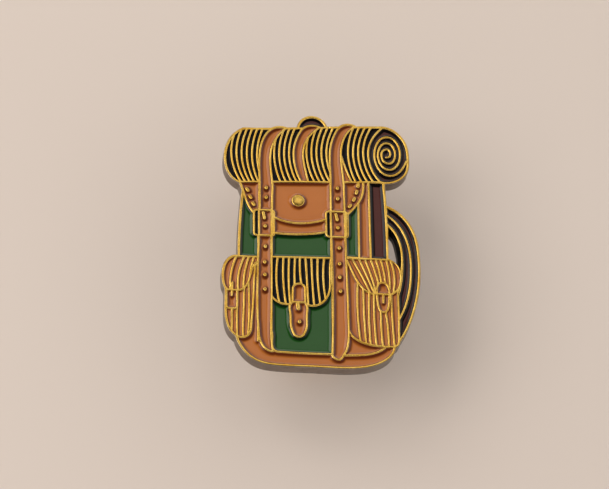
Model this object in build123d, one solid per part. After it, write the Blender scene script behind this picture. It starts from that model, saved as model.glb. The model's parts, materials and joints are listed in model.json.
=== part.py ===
from build123d import *
import math
import os

# Enamel pin in the shape of a packed rucksack with a bedroll, all lengths in mm.
# The pin lies face up on its two clutches: +Z is the face, +Y the top of the artwork.

# Plate
plate_thickness = 2.0
line_width = 0.29  # raised metal lines between the enamel cells
rim_overhang = 0.24  # how far the plate runs past the middle of its rim line
cell_depth = 0.5  # depth of the enamel cells below the line tops
fill_gap = 0.15  # enamel surface below the line tops
ledge_drop = 0.6  # sunk ledge beside the opening under the shoulder strap
smallest_cell = 0.12  # mm2, slivers under this stay metal
rivet_radius = 0.28
stud_length = 0.8  # oblong studs at the corners of the flap
stud_width = 0.5
prong_length = 1.3
prong_width = 0.5
strip_step = 0.9  # longest stretch of a curved line between two points of its edge
joined = 0.001  # border ends closer than this meet
overshoot = 1.0  # how far a cutting solid runs past the metal

# Clutches and posts
clutch_height = 5.8
garment_gap = 3.6
back_z = clutch_height + garment_gap
front_z = back_z + plate_thickness
post_spacing = 18.0
pad_radius = 2.7
pad_thickness = 0.5
dimple_radius = 3.0
dimple_depth = 0.25
solder_height = 0.35
needle_radius = 0.55
needle_length = 7.5
needle_cone = 1.0
groove_radius = 0.35
groove_length = 0.6
groove_from_tip = 1.9
clutch_radius = 5.7
clutch_bore = 1.2
sheet = 0.35  # sheet metal of the clutch
lip_height = 0.9
cover_radius = 3.5
cover_bottom = 1.4
cover_rounding = 1.2
window_width = 4.8
window_low = 3.5
window_high = 4.5
leaf_thickness = 0.3
leaf_width = 4.4
leaf_top = 4.35
leaf_step = 0.4  # the second leaf lies this far under the first
leaf_reach = 1.6
jaw_clearance = 0.02
jaw_slot_width = 1.5
jaw_slot_far = 1.2
wing_shoulder = 4.5
wing_out = 5.4
wing_corner = 0.9
ear_rounding = 1.6
edge_rounding = 0.05
foot_rounding = 0.13
post_places = {"upper": post_spacing / 2, "lower": -post_spacing / 2}
roll_parts = (("left", -7.4), ("middle_left", -2.8), ("middle_right", 2.3), ("right", 8.0))
roll_corner_left = 3.2  # the tan corner of the roll, beside the right strap
roll_corner_right = 4.2
roll_corner_top = 11.6
spiral_centre = (9.34, 14.27)
spiral_first = -0.27  # turns at which the spiral of the rolled-up end begins and ends
spiral_last = 2.96
spiral_start_width = 0.48
spiral_start_height = 0.65
spiral_width_pitch = 0.59  # growth of its half width and half height over one turn
spiral_height_pitch = 0.94
spiral_drift = 0.09  # sideways shift of its centre over one turn
spiral_opens_at = 2.7
spiral_opening = 4.0
spiral_steps = 12  # points on one turn


# ---------- drawing helpers ----------


def run(*points):
    """Straight edge through two points, or one smooth curve through more."""
    return Line(*points) if len(points) == 2 else Spline(*points)


def closed(*runs):
    """Closed border: each run goes on from the end of the one before."""
    edges = []
    at = runs[0][0]
    for number, points in enumerate(runs):
        whole = list(points) if number == 0 else [at] + list(points)
        edges.append(run(*whole))
        at = whole[-1]
    if (Vector(*at) - Vector(*runs[0][0])).length > joined:
        edges.append(Line(at, runs[0][0]))
    return edges


def flat(edges):
    """Flat face inside closed edges, facing up."""
    face = Face(Wire(edges))
    return face if face.normal_at().Z > 0 else -face


def bow(top, side, foot):
    """Arc from a top point through its widest point to its foot."""
    return ThreePointArc(top, side, foot)


def band(edge, width=line_width):
    """Strip of even width along an edge."""
    straight = edge.geom_type == GeomType.LINE
    steps = 1 if straight else max(4, math.ceil(edge.length / strip_step))
    rails = []
    for side in (0.5, -0.5):
        points = []
        for step in range(steps + 1):
            along = edge % (step / steps)
            points.append(edge @ (step / steps) + Vector(-along.Y, along.X) * side * width)
        rails.append(points)
    left, right = rails
    right.reverse()
    return flat([run(*left), Line(left[-1], right[0]), run(*right), Line(right[-1], left[0])])


def dot(x, y, radius):
    """Round island."""
    return Pos(x, y) * flat([Edge.make_circle(radius)])


def stud(x, y, length, width, angle):
    """Long island with round ends, turned from the X axis by an angle."""
    return Pos(x, y) * Rot(0, 0, angle) * SlotOverall(length, width).face()


def bands(edges, width=line_width):
    """Strips along edges, with round joints at their ends."""
    ends = {(round((edge @ t).X, 3), round((edge @ t).Y, 3)) for edge in edges for t in (0, 1)}
    return [band(edge, width) for edge in edges] + [dot(x, y, width / 2) for x, y in sorted(ends)]


class Area:
    """One area of the artwork: its border, and the raised lines and islands inside it."""

    def __init__(self, border, lines=(), islands=()):
        self.border = border
        self.face = flat(border)
        self.edging = bands(border)
        self.inside = bands(lines) + list(islands)
        self.box = self.face.bounding_box()

    def near(self, other):
        """True where two areas may overlap."""
        mine, its = self.box, other.box
        clear_x = mine.min.X > its.max.X + line_width or its.min.X > mine.max.X + line_width
        clear_y = mine.min.Y > its.max.Y + line_width or its.min.Y > mine.max.Y + line_width
        return not (clear_x or clear_y)

    def cells(self, covering):
        """What enamel fills: the area less its own metal and the areas that lie over it."""
        metal = self.edging + self.inside
        for upper in covering:
            if self.near(upper):
                metal += [upper.face] + upper.edging
        left = self.face.cut(*metal)
        return left.faces().filter_by(lambda cell: cell.area > smallest_cell)

    def grown(self):
        """The area grown by the rim, as faces."""
        return [self.face] + bands(self.border, 2 * rim_overhang)


# ---------- the artwork, from the lowest area to the top one ----------


def shoulder_strap():
    """Curved shoulder strap at the right, two bands wide."""
    rim = [(9.13, 6.23), (11.1, 5.04), (12.64, 2.83), (13.42, -1.0), (13.42, -4.5), (12.67, -8.88),
           (11.12, -12.8), (10.0, -14.5)]
    middle = [(9.1, 5.0), (10.98, 3.19), (12.17, 0.0), (12.38, -3.0), (11.65, -8.05), (10.5, -10.7)]
    inner = [(9.1, 3.66), (10.14, 2.6), (10.98, 0.57), (11.22, -2.0), (10.9, -5.6), (10.2, -8.0)]
    hollow = closed(inner[:5], [(9.0, -5.6), (9.0, 3.66)])
    return Area(closed(rim, [(9.2, -14.5)]), [run(*middle), run(*inner)], [flat(hollow)])


def strap_opening():
    """Edge of the opening between the shoulder strap and the bag."""
    return closed([(9.42, 2.5), (9.9, 2.05), (10.46, 0.47), (10.68, -0.93), (10.72, -2.45)],
                  [(10.15, -2.0), (9.42, -1.55)])


def strap_ledge():
    """The sunk strip between the strap's inner line and the opening."""
    return closed([(9.37, 3.2), (10.02, 2.46), (10.8, 0.6), (11.05, -2.0), (10.95, -3.2)],
                  [(10.15, -2.0), (9.37, -1.5)])


def green_left():
    return Area(closed([(-10.4, 7.6), (-10.66, 4.4), (-10.87, -2.35)], [(-8.25, -2.35)], [(-8.25, 7.6)]))


def green_centre():
    return Area(closed([(-6.47, 2.6), (-6.47, -2.2)], [(1.6, -1.93)], [(1.6, 2.6)]))


def green_right():
    return Area(closed([(3.6, -1.68), (5.36, -1.69)], [(5.32, 6.4)], [(3.4, 5.4)]))


def green_lower():
    return Area(closed([(-6.45, -8.0), (-6.43, -13.0)], [(-6.35, -15.0), (-6.1, -15.75), (-5.5, -15.99)],
                       [(-2.0, -16.03), (1.74, -15.97)], [(1.74, -5.8)]))


def panel_tan():
    return Area(closed([(5.36, -1.72), (6.93, -1.75)], [(6.87, 2.4), (6.74, 9.9)], [(5.3, 9.9)]))


def panel_maroon():
    return Area(closed([(6.93, -1.75), (9.2, -1.75)], [(9.1, 3.55), (8.95, 7.1), (8.78, 9.9)],
                       [(6.74, 9.9)], [(6.87, 2.4), (6.93, -1.75)]))


def base_band():
    """Band round the foot of the bag, with a channel up beside the left strap."""
    foot = [(-10.95, -14.2), (-10.2, -15.7), (-8.4, -17.27), (-5.67, -17.81), (-1.0, -17.81),
            (4.0, -17.78), (7.2, -17.2), (9.3, -15.9), (10.0, -14.5)]
    return Area(closed(foot, [(-8.2, -14.5)], [(-8.2, -3.0)], [(-9.3, -4.5)]))


def base_wedge():
    return Area(closed([(3.3, -16.05), (5.76, -15.86), (7.6, -15.38), (8.85, -14.5)], [(8.85, -13.0)],
                       [(3.6, -12.0)]))


def pocket_left():
    """Striped body of the small pocket at the left."""
    border = closed([(-12.58, -6.9), (-12.5, -10.4), (-12.12, -12.55), (-11.3, -13.75), (-10.25, -14.15),
                     (-9.4, -13.65), (-9.1, -12.2), (-8.95, -10.0), (-8.76, -5.0), (-8.62, -3.3)],
                    [(-11.0, -4.5)])
    stripes = [run((-11.68, -10.1), (-11.7, -13.8)), run((-11.02, -7.0), (-11.02, -11.6), (-10.96, -14.2)),
               run((-10.13, -6.6), (-10.15, -10.4), (-10.2, -12.2), (-10.17, -14.2)),
               run((-9.57, -5.9), (-9.4, -9.8), (-9.54, -13.9))]
    return Area(border, stripes)


def pocket_left_flap():
    border = closed([(-8.3, -2.33), (-11.0, -2.38)], [(-12.2, -2.82), (-12.83, -4.1), (-12.9, -5.9),
                    (-12.5, -7.15), (-11.7, -7.37)], [(-11.0, -7.36)],
                    [(-10.2, -7.05), (-9.36, -5.3), (-8.8, -3.5), (-8.3, -2.95)])
    stripes = [bow((-11.2, -2.4), (-11.78, -4.3), (-11.92, -7.4)),
               bow((-10.13, -2.4), (-10.73, -4.2), (-10.93, -7.4)),
               bow((-9.5, -2.4), (-9.97, -4.1), (-10.17, -7.2)),
               bow((-8.84, -2.4), (-9.2, -3.8), (-9.35, -5.3)),
               run((-11.68, -6.3), (-11.7, -7.4))]
    return Area(border, stripes)


def pocket_left_tab():
    border = closed([(-12.46, -7.37), (-11.02, -7.37)], [(-11.0, -9.6)], [(-11.15, -9.95), (-11.5, -10.05)],
                    [(-11.95, -10.05)], [(-12.3, -9.95), (-12.45, -9.6)])
    return Area(border, [run((-11.7, -7.4), (-11.74, -8.15))])


def pocket_right():
    """Striped body of the larger pocket at the right."""
    border = closed([(3.6, -2.0), (3.8, -11.6)],
                    [(4.2, -13.05), (5.76, -14.1), (7.9, -14.48), (9.93, -14.52)],
                    [(10.42, -14.15), (10.6, -13.1), (10.62, -10.4), (10.57, -7.8), (10.5, -5.0)],
                    [(6.5, -3.0)])
    feet = ((5.17, 5.11, 5.43, -4.6, -13.9), (5.88, 5.95, 6.19, -6.0, -14.3), (6.68, 6.6, 6.79, -6.6, -14.5),
            (7.31, 7.3, 7.56, -6.7, -14.5), (8.2, 8.2, 8.4, -9.4, -14.5), (8.83, 8.98, 9.21, -9.3, -14.5),
            (9.62, 9.72, 9.97, -6.7, -14.6))
    stripes = [run((top, high), (middle, -10.4), (foot, low)) for top, middle, foot, high, low in feet]
    return Area(border, stripes)


def pocket_right_flap():
    border = closed([(3.6, -1.83), (9.1, -1.74)], [(10.4, -2.3), (10.98, -4.4), (10.5, -6.14), (9.5, -6.88)],
                    [(7.5, -6.9)], [(6.36, -6.6), (5.17, -5.3), (4.27, -3.46), (3.6, -2.0)])
    tops = ((4.35, 5.4, 6.85, -6.9), (5.3, 6.2, 7.4, -6.9), (6.1, 6.85, 7.62, -6.9),
            (6.88, 7.6, 7.9, -5.3), (7.6, 8.15, 8.3, -5.1), (8.28, 8.74, 8.86, -5.1),
            (9.05, 9.4, 9.46, -6.0), (9.6, 10.1, 9.86, -6.9))
    sides = (-3.76, -3.9, -3.9, -4.0, -4.0, -4.0, -4.0, -4.3)
    stripes = [bow((top, -1.8), (side, height), (foot, low))
               for (top, side, foot, low), height in zip(tops, sides)]
    return Area(border, stripes)


def pocket_right_tab():
    """Oval strap end with its prong, over the flap's edge."""
    border = closed([(7.7, -6.9), (7.78, -5.9), (8.44, -5.05), (9.18, -5.73), (9.38, -6.9)],
                    [(9.33, -8.1), (9.05, -9.15), (8.55, -9.64), (8.05, -9.1), (7.78, -8.1), (7.7, -6.9)])
    return Area(border, [run((7.7, -6.88), (9.38, -6.88)), run((8.58, -6.9), (8.56, -8.1))])


def pocket_centre():
    border = closed([(-6.47, -2.2), (1.62, -1.95)], [(1.42, -5.2), (1.1, -7.5), (0.1, -8.75), (-1.6, -9.02)],
                    [(-4.3, -9.04)], [(-5.6, -8.76), (-6.47, -7.9)])
    tops = ((-5.62, -5.82, -5.4, -8.9), (-4.86, -4.92, -4.53, -9.0), (-4.1, -4.17, -3.93, -9.1),
            (-3.3, -3.39, -3.37, -6.2), (-2.65, -2.6, -2.46, -6.0), (-1.9, -1.74, -1.54, -9.1),
            (-1.1, -1.02, -0.74, -9.1), (-0.26, -0.27, 0.1, -8.9), (0.62, 0.48, 0.86, -8.3))
    stripes = [bow((top, -2.0), (side, -4.8), (foot, low)) for top, side, foot, low in tops]
    return Area(border, stripes)


def pocket_centre_tab():
    """Strap and tapered tab that close the centre pocket."""
    border = closed([(-3.66, -8.7), (-3.6, -6.8)],
                    [(-3.37, -6.2), (-2.8, -5.95), (-2.2, -6.15), (-1.96, -6.8)],
                    [(-1.94, -8.7)], [(-1.73, -9.1), (-1.74, -10.6), (-1.93, -12.9), (-2.83, -13.76),
                    (-3.7, -12.7), (-3.92, -10.4), (-3.96, -9.1), (-3.66, -8.7)])
    prong = stud(-2.9, -9.2, prong_length, prong_width, -84)
    return Area(border, [run((-3.66, -8.68), (-1.94, -8.68))], [prong, dot(-2.7, -11.5, rivet_radius)])


def flap_band():
    border = closed([(-6.4, 3.6), (-6.4, 1.42)], [(-3.8, 1.33), (-1.43, 1.5), (1.55, 2.08)], [(1.55, 4.2)])
    return Area(border)


def flap():
    """Main flap with its snap button."""
    border = closed([(-6.45, 9.3), (-6.45, 3.95)], [(-5.43, 3.43), (-4.2, 3.13), (-2.74, 3.04), (-0.95, 3.27),
                    (1.55, 4.1)], [(1.55, 9.7)])
    return Area(border, [], [dot(-2.92, 6.46, 0.88)])


def flap_corner_left():
    border = closed([(-10.98, 9.0), (-10.37, 7.42), (-9.9, 5.93), (-9.03, 4.38)],
                    [(-8.2, 4.3)], [(-8.2, 9.1)])
    studs = [stud(x, y, stud_length, stud_width, 125) for x, y in ((-9.83, 7.71), (-9.42, 6.64), (-9.0, 5.6))]
    return Area(border, [], studs)


def flap_corner_right():
    border = closed([(5.99, 10.0), (5.98, 8.43), (5.44, 6.82), (4.19, 5.15), (3.7, 4.6)], [(3.35, 4.6)],
                    [(3.35, 9.9)])
    rows = ((5.33, 9.3, 80), (5.1, 8.24, 74), (4.74, 7.12, 66), (4.17, 6.08, 52))
    return Area(border, [], [stud(x, y, stud_length, stud_width, angle) for x, y, angle in rows])


def roll_stripes(count, side, pitch, middle_y, top, foot):
    """Bowed stripes of the bedroll; top and foot give the height, first shift and last shift."""
    lines = []
    for number in range(count):
        share = number / (count - 1)
        x = side + number * pitch
        top_x = x + top[1] + share * (top[2] - top[1])
        foot_x = x + foot[1] + share * (foot[2] - foot[1])
        lines.append(bow((top_x, top[0]), (x, middle_y), (foot_x, foot[0])))
    return lines


def roll_spiral():
    """Rolled-up end: an oval spiral that opens out until it meets the rim."""
    centre_x, centre_y = spiral_centre
    points = []
    steps = round((spiral_last - spiral_first) * spiral_steps)
    for step in range(steps + 1):
        turn = spiral_first + (spiral_last - spiral_first) * step / steps
        opening = spiral_opening * max(0.0, turn - spiral_opens_at) ** 2
        half_width = spiral_start_width + spiral_width_pitch * turn + opening
        half_height = spiral_start_height + spiral_height_pitch * turn
        angle = 2 * math.pi * turn
        points.append((centre_x + spiral_drift * turn + half_width * math.cos(angle),
                       centre_y + half_height * math.sin(angle)))
    return Spline(*points)


def bedroll():
    border = closed([(8.7, 18.48), (5.2, 18.25), (0.5, 17.9), (-4.3, 17.45), (-10.43, 17.05)],
                    [(-12.04, 15.65), (-12.9, 12.86), (-12.35, 10.1), (-11.0, 8.82)],
                    [(-6.0, 9.14), (1.4, 9.55), (8.4, 10.0)],
                    [(10.62, 10.3), (11.87, 11.49), (12.23, 13.8), (11.87, 16.07), (10.14, 18.1),
                     (8.7, 18.48)])
    lines = roll_stripes(6, -12.1, 0.71, 13.5, (17.1, 0.75, 0.7), (9.0, 1.3, 0.85))
    lines += roll_stripes(4, -6.22, 0.685, 13.6, (17.4, 0.7, 0.72), (9.3, 0.86, 1.08))
    lines += roll_stripes(5, -1.78, 0.69, 14.1, (17.8, 0.7, 0.86), (9.6, 1.05, 1.2))
    lines += roll_stripes(4, 3.97, 0.7, 14.4, (18.3, 0.8, 1.08), (10.0, 0.95, 1.32))
    lines.append(run((3.05, 13.6), (3.54, 12.0), (4.33, 10.0)))
    lines.append(run((8.7, 18.4), (7.64, 17.14), (6.87, 15.36), (6.81, 13.45), (7.35, 11.55), (8.4, 10.0)))
    lines.append(roll_spiral())
    return Area(border, lines)


def strap_left():
    """Left strap, over the roll and down the front to the foot."""
    border = closed([(-4.6, 17.5), (-5.4, 17.6), (-6.4, 17.36), (-7.69, 15.77), (-8.2, 13.3), (-8.22, 10.5),
                     (-8.16, 8.5)], [(-8.2, 1.0), (-8.3, -3.0), (-8.34, -8.0), (-8.28, -11.3)],
                    [(-8.1, -13.5), (-7.8, -14.75), (-7.2, -15.6), (-6.2, -15.95)],
                    [(-6.36, -14.8), (-6.46, -12.6)], [(-6.48, -2.7), (-6.5, 4.7), (-6.4, 8.5)],
                    [(-6.75, 12.3), (-6.55, 14.4), (-5.79, 16.13), (-4.6, 17.5)])
    rivets = [dot(x, y, rivet_radius) for x, y in ((-7.27, 8.17), (-7.27, 6.7), (-7.33, -0.68), (-7.4, -3.02),
                                          (-7.35, -4.87), (-7.33, -7.0))]
    return Area(border, [], rivets)


def strap_middle():
    """Short strap that ends behind the flap."""
    return Area(closed([(0.12, 17.95), (-0.83, 18.15), (-1.9, 17.9), (-2.92, 16.55), (-3.5, 14.5),
                        (-3.52, 12.9), (-3.2, 11.1), (-2.55, 9.4)], [(-1.55, 9.42)],
                       [(-1.95, 11.3), (-2.24, 13.4), (-1.95, 15.4), (-1.01, 16.96), (0.12, 17.95)]))


def strap_right():
    """Right strap, over the roll and down the front past the base band."""
    border = closed([(4.9, 18.4), (4.1, 18.6), (3.1, 18.33), (2.08, 16.9), (1.55, 15.0), (1.46, 12.3),
                     (1.53, 9.0)], [(1.57, 4.0), (1.72, -4.0), (1.68, -15.7)],
                    [(1.84, -16.4), (2.34, -16.77), (3.05, -16.2), (3.68, -14.8), (3.88, -12.8)],
                    [(3.72, -6.3), (3.57, -1.2), (3.42, 5.5), (3.34, 9.0)],
                    [(3.08, 12.0), (3.05, 15.0), (3.6, 16.85), (4.9, 18.4)])
    rivets = [dot(x, y, rivet_radius) for x, y in ((2.46, 8.68), (2.5, 7.1), (2.67, -0.34), (2.7, -2.7),
                                          (2.72, -4.7), (2.8, -6.74))]
    return Area(border, [], rivets)


def buckle_left():
    """Frame of the left buckle, with the strap, prong and rivet inside it."""
    border = closed([(-8.5, 4.74), (-6.5, 4.76)], [(-6.27, 4.67), (-6.18, 4.45)], [(-6.18, 1.25)],
                    [(-6.25, 1.06), (-6.45, 0.97)], [(-8.4, 0.93)], [(-8.77, 1.06), (-8.88, 1.4)],
                    [(-8.9, 4.35)], [(-8.79, 4.64), (-8.5, 4.74)])
    strap_edges = [run((-8.2, 4.7), (-8.19, 1.0)), run((-6.5, 4.7), (-6.5, 1.0))]
    prong = stud(-7.56, 3.95, prong_length, prong_width, -78)
    return Area(border, strap_edges, [prong, dot(-7.37, 2.36, rivet_radius)])


def buckle_right():
    border = closed([(1.35, 5.1), (3.45, 5.12)], [(3.73, 5.0), (3.83, 4.72)], [(3.85, 1.75)],
                    [(3.76, 1.42), (3.5, 1.3)], [(1.4, 1.26)], [(1.06, 1.4), (0.93, 1.75)],
                    [(0.88, 4.65)], [(1.0, 4.97), (1.35, 5.1)])
    strap_edges = [run((1.56, 5.05), (1.58, 1.3)), run((3.43, 5.05), (3.48, 1.3)),
                   run((3.66, 4.9), (3.68, 1.5))]
    prong = stud(2.32, 4.28, prong_length, prong_width, -78)
    return Area(border, strap_edges, [prong, dot(2.5, 2.69, rivet_radius)])


def handle():
    """Carrying loop behind the roll."""
    centre_y, radius = 17.53, 1.93
    half = math.sqrt(radius**2 - (centre_y - 17.3) ** 2)
    arc = ThreePointArc((-0.98 + half, 17.3), (-0.98, centre_y + radius), (-0.98 - half, 17.3))
    return Area([arc, Line((-0.98 - half, 17.3), (-0.98 + half, 17.3))])


def artwork():
    """Every area in stacking order, lowest first."""
    makers = (handle, shoulder_strap, base_band, base_wedge, green_left, green_centre, green_right,
              green_lower, panel_tan, panel_maroon, pocket_left, pocket_left_flap, pocket_left_tab,
              pocket_right, pocket_right_flap, pocket_right_tab, pocket_centre, pocket_centre_tab,
              flap_band, flap, flap_corner_left, flap_corner_right, bedroll, strap_middle, strap_left,
              strap_right, buckle_left, buckle_right)
    return {maker.__name__: maker() for maker in makers}


def silhouette(areas):
    """Outside edge of the plate: every area grown by the rim, with the gaps inside filled."""
    faces = []
    for area in areas.values():
        faces += area.grown()
    whole = faces[0].fuse(*faces[1:]).faces().sort_by(SortBy.AREA)[-1]
    return Face(whole.outer_wire())


# ---------- solids ----------


def raised(faces, low, high):
    """Solids that stand on flat faces between two heights."""
    return [Pos(0, 0, low) * extrude(face, amount=high - low, dir=(0, 0, 1)) for face in faces]


def cylinder(radius, low, high, y=0.0):
    """Upright cylinder on a post's axis."""
    return Pos(0, y, (low + high) / 2) * Cylinder(radius, high - low)


def turned(outline, y):
    """Solid turned about a post's axis from (radius, height) points."""
    section = make_face(Polyline(*outline, close=True))
    return Pos(0, y, 0) * revolve(Plane.XZ * section, Axis.Z)


def make_base(outline, opening, ledge, cells):
    """Die-struck plate: cells for the enamel, the strap opening and a dimple under each post."""
    plate = raised([outline], back_z, front_z)[0]
    plate -= raised(cells, front_z - cell_depth, front_z + overshoot)
    plate -= raised([ledge], front_z - ledge_drop, front_z + overshoot)
    plate -= raised([opening], back_z - overshoot, front_z + overshoot)
    for y in post_places.values():
        plate -= cylinder(dimple_radius, back_z - overshoot, back_z + dimple_depth, y)
    return plate


def make_post(y):
    """Needle and its soldered pad, with a groove near the point for the clutch."""
    top = back_z + dimple_depth
    tip = back_z - needle_length
    groove_low = tip + groove_from_tip
    groove_high = groove_low + groove_length
    return turned([(0, tip), (needle_radius, tip + needle_cone), (needle_radius, groove_low),
                   (groove_radius, groove_low), (groove_radius, groove_high), (needle_radius, groove_high),
                   (needle_radius, top - pad_thickness), (pad_radius, top - pad_thickness),
                   (pad_radius, top), (0, top)], y)


def make_solder(y):
    """Fillet of solder round the pad."""
    top = back_z + dimple_depth
    return turned([(pad_radius, top), (pad_radius, top - solder_height), (dimple_radius, back_z),
                   (dimple_radius, top)], y)


def make_clutch_plate(y):
    """Cupped disc that presses on the cloth, with a lip round it and a bore for the needle."""
    top, under = clutch_height, clutch_height - sheet
    lip_low = clutch_height - lip_height
    inner = clutch_radius - sheet
    return turned([(clutch_bore, top), (inner, top), (clutch_radius, under), (clutch_radius, lip_low),
                   (inner, lip_low), (inner, under), (clutch_bore, under)], y)


def make_clutch_cover(y):
    """Domed cover under the disc, with a window on each side for the wings."""
    top = clutch_height - sheet
    shell = cylinder(cover_radius, cover_bottom, top)
    shell = fillet(shell.edges().sort_by(Axis.Z)[0], cover_rounding)
    hollow = cylinder(cover_radius - sheet, cover_bottom + sheet, top + overshoot)
    hollow = fillet(hollow.edges().sort_by(Axis.Z)[0], cover_rounding - sheet)
    window = Box(2 * clutch_radius, window_width, window_high - window_low)
    return Pos(0, y) * (shell - hollow - Pos(0, 0, (window_low + window_high) / 2) * window)


def make_wing(side, top, y):
    """Spring leaf of a clutch: its jaw round the needle inside the cover, its ear outside."""
    low = top - leaf_thickness
    outline = [(-leaf_reach, low), (-leaf_reach, top), (wing_shoulder, top), (wing_out, 0),
               (wing_out - leaf_thickness, 0), (wing_shoulder - leaf_thickness, low)]
    bends = [edge_rounding, edge_rounding, wing_corner, foot_rounding, foot_rounding,
             wing_corner - leaf_thickness]
    profile = make_face(FilletPolyline(*outline, radius=bends, close=True))
    leaf = Pos(0, leaf_width / 2) * extrude(Plane.XZ * profile, amount=leaf_width)
    ear = Plane.YZ * RectangleRounded(leaf_width, 2 * clutch_height, ear_rounding)
    leaf = leaf & Pos(0, 0, clutch_height) * extrude(ear, amount=2 * wing_out, both=True)
    grip = -needle_radius - jaw_clearance
    slot = Box(jaw_slot_far - grip, jaw_slot_width, clutch_height)
    leaf -= Pos((jaw_slot_far + grip) / 2, 0, clutch_height / 2 + low - leaf_thickness) * slot
    if side < 0:
        leaf = leaf.rotate(Axis.Z, 180)
    return Pos(0, y) * leaf


def split_nodes(name, cells):
    """Enamel node names for the cells of one area."""
    if name == "bedroll":
        return split_bedroll(cells)
    if name.startswith("buckle"):
        slot, window = cells.sort_by(Axis.X)[:2]
        return {f"enamel_{name}_slot": [slot], f"enamel_{name}_window": [window]}
    if name in ("strap_left", "strap_right"):
        lower, upper = cells.sort_by(Axis.Y)
        return {f"enamel_{name}_lower": [lower], f"enamel_{name}_upper": [upper]}
    return {f"enamel_{name}": list(cells)}


def split_bedroll(cells):
    """The roll's stripes between its straps, its spiral end, and the tan corner by the right strap."""
    groups = {}
    for cell in cells:
        x, y = cell.center().X, cell.center().Y
        if x > roll_parts[-1][1]:
            part = "spiral"
        elif roll_corner_left < x < roll_corner_right and y < roll_corner_top:
            part = "corner"
        else:
            part = [name for name, limit in roll_parts if x < limit][0]
        groups.setdefault(f"enamel_roll_{part}", []).append(cell)
    return groups


def main():
    areas = artwork()
    outline = silhouette(areas)
    middle = outline.bounding_box().center()
    to_centre = Pos(-middle.X, -middle.Y)
    names = list(areas)
    nodes = {}
    every_cell = []
    for number, name in enumerate(names):
        cells = areas[name].cells([areas[upper] for upper in names[number + 1:]])
        for node, group in split_nodes(name, cells).items():
            faces = [to_centre * cell for cell in group]
            every_cell += faces
            nodes[node] = Compound(raised(faces, front_z - cell_depth, front_z - fill_gap))
    nodes["base"] = make_base(to_centre * outline, to_centre * flat(strap_opening()),
                              to_centre * flat(strap_ledge()), every_cell)
    for place, y in post_places.items():
        nodes[f"post_{place}"] = make_post(y)
        nodes[f"solder_{place}"] = make_solder(y)
        nodes[f"clutch_{place}_plate"] = make_clutch_plate(y)
        nodes[f"clutch_{place}_cover"] = make_clutch_cover(y)
        nodes[f"clutch_{place}_wing_right"] = make_wing(1, leaf_top, y)
        nodes[f"clutch_{place}_wing_left"] = make_wing(-1, leaf_top - leaf_step, y)
    os.makedirs("parts", exist_ok=True)
    for node, shape in nodes.items():
        export_step(shape, f"parts/{node}.step")
    print(len(nodes), "nodes; artwork moved by", round(-middle.X, 3), round(-middle.Y, 3))


main()
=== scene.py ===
import bmesh
import bpy
import json
import math
from mathutils import Matrix, Vector
from mathutils.bvhtree import BVHTree


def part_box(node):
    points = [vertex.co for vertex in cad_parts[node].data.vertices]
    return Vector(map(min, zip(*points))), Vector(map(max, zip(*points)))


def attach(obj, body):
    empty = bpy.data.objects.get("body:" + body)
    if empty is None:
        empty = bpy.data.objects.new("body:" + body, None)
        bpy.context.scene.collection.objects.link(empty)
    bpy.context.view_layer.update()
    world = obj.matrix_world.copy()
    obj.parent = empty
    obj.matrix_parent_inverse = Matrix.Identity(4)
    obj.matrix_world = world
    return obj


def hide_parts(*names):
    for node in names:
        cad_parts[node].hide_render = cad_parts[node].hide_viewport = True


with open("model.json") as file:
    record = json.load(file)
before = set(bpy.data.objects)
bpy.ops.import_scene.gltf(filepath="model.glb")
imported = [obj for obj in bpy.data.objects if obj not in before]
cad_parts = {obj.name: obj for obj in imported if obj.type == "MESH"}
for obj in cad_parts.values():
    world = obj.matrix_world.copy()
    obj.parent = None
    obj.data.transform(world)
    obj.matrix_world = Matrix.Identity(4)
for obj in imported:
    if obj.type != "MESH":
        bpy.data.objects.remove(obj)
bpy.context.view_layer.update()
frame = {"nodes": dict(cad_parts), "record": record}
mm = 0.001
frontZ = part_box("base")[1].z  # tops of the raised lines
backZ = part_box("base")[0].z
mergeDistance = 0.0005 * mm
levelTolerance = 0.001 * mm
cutTolerance = 0.0001 * mm
wallNormal = 0.5  # a face whose normal rises less than this is a wall
print("frame loaded:", len(frame["nodes"]), "nodes")


# colours and nodes

def linear(hexColour):
    parts = [int(hexColour[i:i + 2], 16) / 255 for i in (1, 3, 5)]
    return tuple(p / 12.92 if p <= 0.04045 else ((p + 0.055) / 1.055) ** 2.4 for p in parts) + (1.0,)


def addNode(tree, kind, settings=None, inputs=None):
    node = tree.nodes.new("ShaderNode" + kind)
    for name, value in (settings or {}).items():
        setattr(node, name, value)
    for name, value in (inputs or {}).items():
        if isinstance(value, bpy.types.NodeSocket):
            tree.links.new(value, node.inputs[name])
        else:
            node.inputs[name].default_value = value
    return node


def newMaterial(name, shader):
    material = bpy.data.materials.new(name)
    material.use_nodes = True
    tree = material.node_tree
    tree.nodes.clear()
    surface = addNode(tree, "BsdfPrincipled", inputs=shader)
    output = addNode(tree, "OutputMaterial", inputs={"Surface": surface.outputs[0]})
    output.is_active_output = True
    place = addNode(tree, "TexCoord").outputs["Object"]
    return material, tree, surface, place


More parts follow.
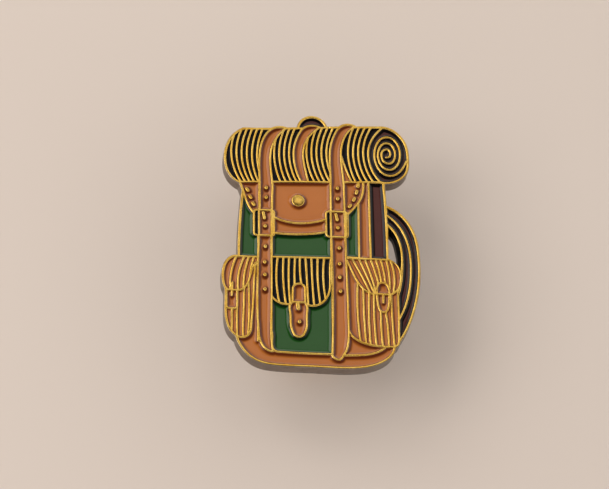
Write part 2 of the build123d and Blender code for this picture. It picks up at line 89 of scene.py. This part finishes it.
# Soft enamel: pigmented epoxy, dripped into the cells and baked. Glossy, a little wavy, deeper in
# colour where it climbs the metal: partly the thicker pigment there, partly painted shade along the upper
# left edges.
noiseSpread = (0.3, 0.7)  # most of a noise texture's values lie between these
enamelColours = {
    "enamel_tan": {"flat": "#BD7131", "cloud": "#B26628", "climb": "#5E2608", "reach": 0.6, "gloss": 0.1,
                   "shine": 0.42},
    "enamel_green": {"flat": "#1B5014", "cloud": "#174A12", "climb": "#021C02", "reach": 0.55, "gloss": 0.08,
                     "shine": 0.42},
    "enamel_black": {"flat": "#050405", "cloud": "#080607", "climb": "#030203", "reach": 0.5, "gloss": 0.12,
                     "shine": 0.14},
    "enamel_maroon": {"flat": "#51241D", "cloud": "#471D18", "climb": "#070202", "reach": 0.28, "gloss": 0.1,
                      "shine": 0.28},
}
enamelSurface = {
    "cloudSize": 3.0, "waveSize": 2.2, "waveBump": 0.008, "speckSize": 0.12, "speckBump": 0.002,
    "climbFrom": 0.06,  # the climb value at which the deep colour begins, full at each colour's reach
    "glossSpread": (0.7, 1.4),  # of the gloss, smoothest and dullest specks
}


def makeEnamel(slot, colours):
    material, tree, surface, place = newMaterial(
        slot.replace("enamel_", "softEnamel_"), {"IOR": 1.5, "Specular IOR Level": colours["shine"]})
    cloudScale = 1 / (enamelSurface["cloudSize"] * mm)
    clouds = addNode(tree, "TexNoise", inputs={"Vector": place, "Scale": cloudScale, "Detail": 3.0})
    body = addNode(tree, "Mix", {"data_type": "RGBA"}, {0: clouds.outputs["Fac"], 6: linear(colours["flat"]),
                                                        7: linear(colours["cloud"])})
    # the deep edge colour: partly thicker pigment, partly painted shade, deepest on the upper left edges
    height = addNode(tree, "Attribute", {"attribute_name": "climb"}).outputs["Fac"]
    climbRange = {"Value": height, "From Min": enamelSurface["climbFrom"], "From Max": colours["reach"]}
    climb = addNode(tree, "MapRange", {"interpolation_type": "SMOOTHSTEP"}, climbRange)
    colour = addNode(tree, "Mix", {"data_type": "RGBA"}, {0: climb.outputs["Result"], 6: body.outputs[2],
                                                          7: linear(colours["climb"])})
    tree.links.new(colour.outputs[2], surface.inputs["Base Color"])
    speckScale = 1 / (enamelSurface["speckSize"] * mm)
    specks = addNode(tree, "TexNoise", inputs={"Vector": place, "Scale": speckScale})
    low, high = (colours["gloss"] * share for share in enamelSurface["glossSpread"])
    gloss = addNode(tree, "MapRange", inputs={"Value": specks.outputs["Fac"], "From Min": noiseSpread[0],
                                              "From Max": noiseSpread[1], "To Min": low, "To Max": high})
    tree.links.new(gloss.outputs["Result"], surface.inputs["Roughness"])
    waveScale = 1 / (enamelSurface["waveSize"] * mm)
    waves = addNode(tree, "TexNoise", inputs={"Vector": place, "Scale": waveScale, "Detail": 1.0})
    wavy = addNode(tree, "Bump", inputs={"Height": waves.outputs["Fac"], "Strength": 1.0,
                                         "Distance": enamelSurface["waveBump"] * mm})
    fine = addNode(tree, "Bump", inputs={"Height": specks.outputs["Fac"], "Strength": 1.0,
                                         "Distance": enamelSurface["speckBump"] * mm,
                                         "Normal": wavy.outputs["Normal"]})
    tree.links.new(fine.outputs["Normal"], surface.inputs["Normal"])
    return material


patchSize = 2.2  # mm, of the bright and dull patches on metal
patchSpread = (0.35, 0.7)


# grain and bump in mm; the last argument darkens the colour below the tops, partly a stain, partly painted
# shade, with the depths where it begins and is full
def makeMetal(name, bright, dull, roughness, grain, bump, stretch=(1.0, 1.0, 1.0), recessStainAndShade=None):
    material, tree, surface, place = newMaterial(name, {"Metallic": 1.0})
    turned = addNode(tree, "Mapping", inputs={"Vector": place, "Scale": stretch}).outputs["Vector"]
    patches = addNode(tree, "TexNoise", inputs={"Vector": place, "Scale": 1 / (patchSize * mm),
                                                "Detail": 4.0})
    tone = addNode(tree, "MapRange", inputs={"Value": patches.outputs["Fac"], "From Min": patchSpread[0],
                                             "From Max": patchSpread[1]})
    colour = addNode(tree, "Mix", {"data_type": "RGBA"}, {0: tone.outputs["Result"], 6: linear(bright),
                                                          7: linear(dull)})
    # painted shade in part: the colour darkens with depth below the line tops
    if recessStainAndShade:
        height = addNode(tree, "SeparateXYZ", inputs={0: place}).outputs["Z"]
        depth = addNode(tree, "MapRange", inputs={"Value": height, "From Min": frontZ - recessStainAndShade["from"] * mm,
                                                  "From Max": frontZ - recessStainAndShade["to"] * mm})
        colour = addNode(tree, "Mix", {"data_type": "RGBA"}, {0: depth.outputs["Result"],
                                                              6: colour.outputs[2],
                                                              7: linear(recessStainAndShade["colour"])})
    tree.links.new(colour.outputs[2], surface.inputs["Base Color"])
    grains = addNode(tree, "TexNoise", inputs={"Vector": turned, "Scale": 1 / (grain * mm), "Detail": 2.0})
    gloss = addNode(tree, "MapRange", inputs={"Value": grains.outputs["Fac"], "From Min": noiseSpread[0],
                                              "From Max": noiseSpread[1], "To Min": roughness[0],
                                              "To Max": roughness[1]})
    tree.links.new(gloss.outputs["Result"], surface.inputs["Roughness"])
    pits = addNode(tree, "Bump", inputs={"Height": grains.outputs["Fac"], "Strength": 1.0,
                                         "Distance": bump * mm})
    tree.links.new(pits.outputs["Normal"], surface.inputs["Normal"])
    return material


enamels = {slot: makeEnamel(slot, colours) for slot, colours in enamelColours.items()}
# Gold flash over polished die-struck zinc: satin line tops, darker down the flanks: partly a stain where the
# wheel can't reach, partly painted shade.
goldPlating = makeMetal("goldPlatedZinc", "#F0C866", "#DEAC42", (0.15, 0.3), 0.12, 0.006,
                        recessStainAndShade={"colour": "#7A4A0E", "from": 0.025, "to": 0.1})
# Black nickel: smoky grey plating, on the sides and the back.
blackNickel = makeMetal("blackNickelPlating", "#8A7E74", "#766B62", (0.26, 0.4), 0.2, 0.006)
blackNickelBack = makeMetal("blackNickelSandblastedBack", "#6E655E", "#544D47", (0.34, 0.55), 0.22, 0.014)
# Painted shade: the same plating in the opening and on the sunk ledge beside it, made nearly black because
# no light reaches there.
paintedShadeNickel = makeMetal("blackNickelPaintedShade", "#262321", "#171514", (0.3, 0.5), 0.2, 0.01)
# Drawn and nickel plated steel: fine lines run along the needle.
needleSteel = makeMetal("nickelPlatedNeedleSteel", "#C9C6BF", "#B5B1A8", (0.14, 0.3), 0.12, 0.004,
                        (1, 1, 0.12))
# Soft solder: melted, dull and lumpy.
solderTin = makeMetal("softSolder", "#A9A7A0", "#86837B", (0.35, 0.6), 0.35, 0.05)
# Stamped yellow brass, barrel polished and lacquered.
stampedBrass = makeMetal("stampedBrass", "#DDB869", "#CDA256", (0.2, 0.34), 0.3, 0.0025)
# Rolled brass strip: fine lines run along the wings.
springBrass = makeMetal("rolledSpringBrass", "#D6B061", "#C2974D", (0.2, 0.36), 0.2, 0.0025, (1, 0.12, 1))
print("materials made")


# mesh helpers

def mergedCopy(node):
    mesh = bmesh.new()
    mesh.from_mesh(frame["nodes"][node].data)
    bmesh.ops.remove_doubles(mesh, verts=mesh.verts, dist=mergeDistance)
    return mesh


def flatLevel(face, z, up=1):
    return face.normal.z * up > 0.99 and abs(face.calc_center_median().z - z) < levelTolerance


def connected(faces):
    left = set(faces)
    groups = []
    for start in faces:
        if start not in left:
            continue
        left.remove(start)
        group = [start]
        for face in group:
            for edge in face.edges:
                for other in edge.link_faces:
                    if other in left:
                        left.remove(other)
                        group.append(other)
        groups.append(group)
    return groups


def finishPiece(mesh, name, body, materials, replaced, sharp=35):
    data = bpy.data.meshes.new(name)
    mesh.to_mesh(data)
    mesh.free()
    for material in materials:
        data.materials.append(material)
    data.shade_smooth()
    data.set_sharp_from_angle(angle=math.radians(sharp))
    piece = bpy.data.objects.new(name, data)
    bpy.context.scene.collection.objects.link(piece)
    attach(piece, body)
    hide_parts(*replaced)
    return piece


# the struck plate

plate = {
    "lineRounding": ((0.036, 0.085), (0.032, 0.04), (0.032, 0.014)),  # step inwards, drop of its outer edge
    "rivetRounding": ((0.03, 0.17), (0.05, 0.07), (0.06, 0.0), (0.06, -0.04)),  # crowned above the lines
    "backRounding": ((0.03, 0.06), (0.04, 0.02)),
    "rivetSize": 1.5,  # islands under this length are rivets, prongs and studs
    "rivetMargin": 0.05,  # round a rivet's top, where the enamel beside it still belongs to it
    "tinyEdge": 0.012,
    "longestSpoke": 1.7,  # of an inset, in steps
    "goldDepth": 0.55,  # cells are gold inside; sides and the sunk ledge go deeper than this
    "openingSize": 15,  # walls under this length belong to the opening
    "nickelRings": 2,  # of the rounding, on the plate's outer edge
}
goldSlot, nickelSlot, backSlot, paintedShadeSlot = range(4)


def roundOff(mesh, faces, rounding, up=1):
    for inwards, drop in rounding:
        ring = bmesh.ops.inset_region(mesh, faces=faces, thickness=inwards * mm, depth=0.0,
                                      use_even_offset=True, use_boundary=True)["faces"]
        inner = {vert for face in faces for vert in face.verts}
        longest = plate["longestSpoke"] * inwards * mm
        for spoke in dict.fromkeys(edge for face in ring for edge in face.edges):
            near = [vert for vert in spoke.verts if vert in inner]
            far = [vert for vert in spoke.verts if vert not in inner]
            if near and far and spoke.calc_length() > longest:  # a spike from a tiny edge
                near[0].co = far[0].co + (near[0].co - far[0].co).normalized() * longest
        for vert in {vert for face in ring for vert in face.verts} - inner:
            vert.co.z -= up * drop * mm
        yield ring


def sizeOf(faces):
    places = [vert.co for face in faces for vert in face.verts]
    return (Vector(map(max, zip(*places))) - Vector(map(min, zip(*places)))).length


def makePlate():
    mesh = mergedCopy("base")
    bmesh.ops.remove_doubles(mesh, verts=mesh.verts, dist=plate["tinyEdge"] * mm)
    mesh.normal_update()
    for face in mesh.faces:
        face.material_index = backSlot if face.normal.z < -wallNormal else goldSlot
    sunk = frontZ - plate["goldDepth"] * mm
    for wall in connected([face for face in mesh.faces if abs(face.normal.z) < wallNormal]):
        if min(vert.co.z for face in wall for vert in face.verts) < sunk:
            # painted shade: small deep walls, those of the opening, get the nearly black plating
            plating = paintedShadeSlot if sizeOf(wall) < plate["openingSize"] * mm else nickelSlot
            for face in wall:
                face.material_index = plating
    # painted shade: the sunk ledge beside the opening gets the nearly black plating too
    for face in mesh.faces:
        if face.normal.z > wallNormal and face.calc_center_median().z < sunk:
            face.material_index = paintedShadeSlot
    rivets = []
    tops = connected([face for face in mesh.faces if flatLevel(face, frontZ)])
    for top in tops:
        small = sizeOf(top) < plate["rivetSize"] * mm
        if small:
            places = [vert.co.copy() for face in top for vert in face.verts]
            rivets.append((sum(places, Vector()) / len(places), sizeOf(top) / 2 + plate["rivetMargin"] * mm))
        rounding = plate["rivetRounding" if small else "lineRounding"]
        for number, ring in enumerate(roundOff(mesh, top, rounding)):
            for face in ring:
                beside = {other.material_index for edge in face.edges for other in edge.link_faces}
                outer = number < plate["nickelRings"] and nickelSlot in beside
                face.material_index = nickelSlot if outer else goldSlot
    back = [face for face in mesh.faces if flatLevel(face, backZ, -1)]
    for ring in roundOff(mesh, back, plate["backRounding"], -1):
        for face in ring:
            face.material_index = nickelSlot
    piece = finishPiece(mesh, "struckPlate", "badge",
                        [goldPlating, blackNickel, blackNickelBack, paintedShadeNickel], ["base"])
    print("plate struck:", len(tops), "raised areas,", len(rivets), "rivets and studs,",
          len(piece.data.polygons), "faces")
    return rivets


# the enamel

pour = {
    "grid": 0.1,  # spacing of the mesh, under the width of a stripe
    "slopeWidth": 0.62,  # widest climbing edge
    "steepness": 0.35,  # depth of the dip over the width of the climbing edge
    "lineReach": 0.07,  # how far under the line tops it ends on the metal
    "rivetReach": 0.17,
    "smoothing": 2,
    "wallMargin": 0.002,  # points nearer a wall than this keep their height
    "flatAngle": 0.3,  # degrees, loose triangles flatter than this become one face
    "sharpAngle": 50,
    "paintedShadeSide": Vector((-0.7, 0.7, 0)),  # painted shade: the edge colour is deepest on this side of each cell, where the raised lines shade it
    "litSideShare": 0.25,  # share of the deep colour on the opposite side
}


def cutGrid(mesh, faces, spacing):
    geometry = list(dict.fromkeys(vert for face in faces for vert in face.verts))
    geometry += list(dict.fromkeys(edge for face in faces for edge in face.edges)) + faces
    places = [vert.co for face in faces for vert in face.verts]
    low, high = Vector(map(min, zip(*places))), Vector(map(max, zip(*places)))
    for axis in (0, 1):
        direction = Vector((1 - axis, axis, 0))
        for step in range(1, math.ceil((high[axis] - low[axis]) / spacing)):
            cut = bmesh.ops.bisect_plane(mesh, geom=geometry, dist=cutTolerance,
                                         plane_co=low + direction * step * spacing, plane_no=direction)
            geometry = cut["geom"]


def pourCell(cell, walls, rivets, deepColourAndShadeLayer):
    verts = list(dict.fromkeys(vert for face in cell for vert in face.verts))
    nearest = {vert: walls.find_nearest(vert.co) for vert in verts}
    reach = max(found[3] for found in nearest.values())
    width = min(pour["slopeWidth"] * mm, reach)
    bottom = frontZ - pour["lineReach"] * mm - pour["steepness"] * width
    for vert in verts:
        wall, distance = nearest[vert][0], nearest[vert][3]
        climb = max(0.0, 1 - distance / width) ** 2
        besideRivet = any((wall - centre).xy.length < size for centre, size in rivets)
        edge = frontZ - pour["rivetReach" if besideRivet else "lineReach"] * mm
        # painted shade: the edge colour deepens towards the upper left side of each cell
        side = 0.5 + 0.5 * (wall - vert.co).normalized().dot(pour["paintedShadeSide"]) if distance > 0 else 0.5
        share = pour["litSideShare"] + (1 - pour["litSideShare"]) * side
        vert[deepColourAndShadeLayer] = share * max(0.0, 1 - distance / width)
        vert.co.z = bottom + max(0.0, edge - bottom) * climb
    return [vert for vert in verts if nearest[vert][3] > pour["wallMargin"] * mm]


def pourEnamel(node, slot, rivets):
    mesh = mergedCopy(node)
    bmesh.ops.dissolve_limit(mesh, angle_limit=math.radians(pour["flatAngle"]), verts=mesh.verts[:],
                             edges=mesh.edges[:])
    mesh.normal_update()
    deepColourAndShadeLayer = mesh.verts.layers.float.new("climb")
    top = max(vert.co.z for vert in mesh.verts)
    sides = [[vert.index for vert in face.verts] for face in mesh.faces
             if abs(face.normal.z) < wallNormal]
    walls = BVHTree.FromPolygons([vert.co.copy() for vert in mesh.verts], sides)
    cutGrid(mesh, [face for face in mesh.faces if flatLevel(face, top)], pour["grid"] * mm)
    low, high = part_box(node)
    near = [(centre, size) for centre, size in rivets
            if low.x < centre.x < high.x and low.y < centre.y < high.y]
    inner = []
    for cell in connected([face for face in mesh.faces if flatLevel(face, top)]):
        inner += pourCell(cell, walls, near, deepColourAndShadeLayer)
    for _ in range(pour["smoothing"]):
        bmesh.ops.smooth_vert(mesh, verts=inner, factor=0.5, use_axis_x=False, use_axis_y=False,
                              use_axis_z=True)
    return finishPiece(mesh, node.replace("enamel_", "poured_"), "badge", [enamels[slot]], [node],
                       pour["sharpAngle"])


rivets = makePlate()
faceCount = 0
for part in frame["record"]["subparts"]:
    if part["node"].startswith("enamel_"):
        faceCount += len(pourEnamel(part["node"], part["material_slot"], rivets).data.polygons)
print("enamel poured:", faceCount, "faces")


# needles, solder and clutches

hardware = {
    "edgeRounding": 0.05,
    "roundingSteps": 2,
    "roundedAngle": 50,  # degrees, edges sharper than this are rounded
    "flatAngle": 0.5,
    "sharpAngle": 30,
}


def softened(node, name, body, material):
    mesh = mergedCopy(node)
    bmesh.ops.dissolve_limit(mesh, angle_limit=math.radians(hardware["flatAngle"]), verts=mesh.verts[:],
                             edges=mesh.edges[:])
    piece = finishPiece(mesh, name, body, [material], [node], hardware["sharpAngle"])
    edges = piece.modifiers.new("edges", "BEVEL")
    edges.width = hardware["edgeRounding"] * mm
    edges.segments = hardware["roundingSteps"]
    edges.limit_method = "ANGLE"
    edges.angle_limit = math.radians(hardware["roundedAngle"])
    return piece


for place in ("upper", "lower"):
    for node, material in ((f"post_{place}", needleSteel), (f"solder_{place}", solderTin)):
        frame["nodes"][node].data.materials.clear()
        frame["nodes"][node].data.materials.append(material)
    clutch = f"clutch_{place}"
    softened(f"{clutch}_plate", f"{clutch}_disc", clutch, stampedBrass)
    softened(f"{clutch}_cover", f"{clutch}_dome", clutch, stampedBrass)
    for side in ("left", "right"):
        wing = f"{clutch}_wing_{side}"
        softened(wing, f"{clutch}_ear_{side}", wing, springBrass)
print("hardware made")


# floor, light and camera

studio = {
    "cloudScale": 12.0,  # of the floor's faint patches, per metre
    "floorSize": 1.6, "floorColour": "#E2D6CC", "floorCloud": "#DED1C7", "world": "#FFFAF5",
    "horizonGlow": 1.7, "zenithGlow": 0.1, "glowFrom": 0.3, "glowTo": 0.8,  # heights on the unit sky
    "aim": Vector((-2.32, -0.958, 11.4)) * mm,
    "view": Vector((-0.11, -0.44, 0.8912)), "distance": 0.327, "lens": 144.0, "sensor": 36.0,
}
lights = {
    "overheadPanel": {"place": (0.09, 0.36, 0.71), "size": (0.36, 0.36), "radiance": 0.9,
                      "colour": "#FFF8F2"},
    "sideStrip": {"place": (-0.44, 0.36, 0.56), "size": (0.3, 0.4), "radiance": 2.4, "colour": "#FFF8F2"},
    "leftWindow": {"place": (-0.6, -0.1, 0.5), "size": (0.5, 0.5), "radiance": 2.4, "colour": "#FFF8F2"},
}


def makeFloor():
    mesh = bmesh.new()
    bmesh.ops.create_grid(mesh, x_segments=1, y_segments=1, size=studio["floorSize"] / 2)
    data = bpy.data.meshes.new("paperFloor")
    mesh.to_mesh(data)
    mesh.free()
    floor = bpy.data.objects.new("paperFloor", data)
    bpy.context.scene.collection.objects.link(floor)
    # Matt coloured paper, almost even
    material, tree, surface, place = newMaterial("mattPaper", {"Roughness": 0.9})
    clouds = addNode(tree, "TexNoise", inputs={"Vector": place, "Scale": studio["cloudScale"],
                                               "Detail": 2.0})
    tint = addNode(tree, "Mix", {"data_type": "RGBA"}, {0: clouds.outputs["Fac"],
                                                        6: linear(studio["floorColour"]),
                                                        7: linear(studio["floorCloud"])})
    tree.links.new(tint.outputs[2], surface.inputs["Base Color"])
    data.materials.append(material)


def aimedAt(place, target):
    turn = (Vector(target) - Vector(place)).to_track_quat("-Z", "Y")
    return Matrix.Translation(place) @ turn.to_matrix().to_4x4()


def makeLight(name, values):
    light = bpy.data.lights.new(name, "AREA")
    light.shape = "RECTANGLE"
    light.size, light.size_y = values["size"]
    light.energy = values["radiance"] * math.pi * light.size * light.size_y
    light.color = linear(values["colour"])[:3]
    lamp = bpy.data.objects.new(name, light)
    lamp.matrix_world = aimedAt(values["place"], (0, 0, frontZ))
    bpy.context.scene.collection.objects.link(lamp)


def makeCamera():
    camera = bpy.data.cameras.new("camera")
    camera.lens = studio["lens"]
    camera.sensor_width = studio["sensor"]
    camera.clip_start = 0.01
    back = studio["view"].normalized()
    across = Vector((back.z, 0, -back.x)).normalized()
    turned = Matrix((across, back.cross(across), back)).transposed().to_4x4()
    viewer = bpy.data.objects.new("camera", camera)
    viewer.matrix_world = Matrix.Translation(studio["aim"] + back * studio["distance"]) @ turned
    bpy.context.scene.collection.objects.link(viewer)
    bpy.context.scene.camera = viewer


def makeWorld():
    world = bpy.data.worlds.new("studio")
    world.use_nodes = True
    world.node_tree.nodes.clear()
    upwards = addNode(world.node_tree, "TexCoord").outputs["Generated"]
    height = addNode(world.node_tree, "SeparateXYZ", inputs={0: upwards}).outputs["Z"]
    strength = addNode(world.node_tree, "MapRange", inputs={
        "Value": height, "From Min": studio["glowFrom"], "From Max": studio["glowTo"],
        "To Min": studio["horizonGlow"], "To Max": studio["zenithGlow"]})
    glow = addNode(world.node_tree, "Background", inputs={"Color": linear(studio["world"]),
                                                          "Strength": strength.outputs["Result"]})
    addNode(world.node_tree, "OutputWorld", inputs={"Surface": glow.outputs[0]})
    bpy.context.scene.world = world
    bpy.context.scene.view_settings.view_transform = "Standard"


makeFloor()
for name, values in lights.items():
    makeLight(name, values)
makeWorld()
makeCamera()
print("studio ready")
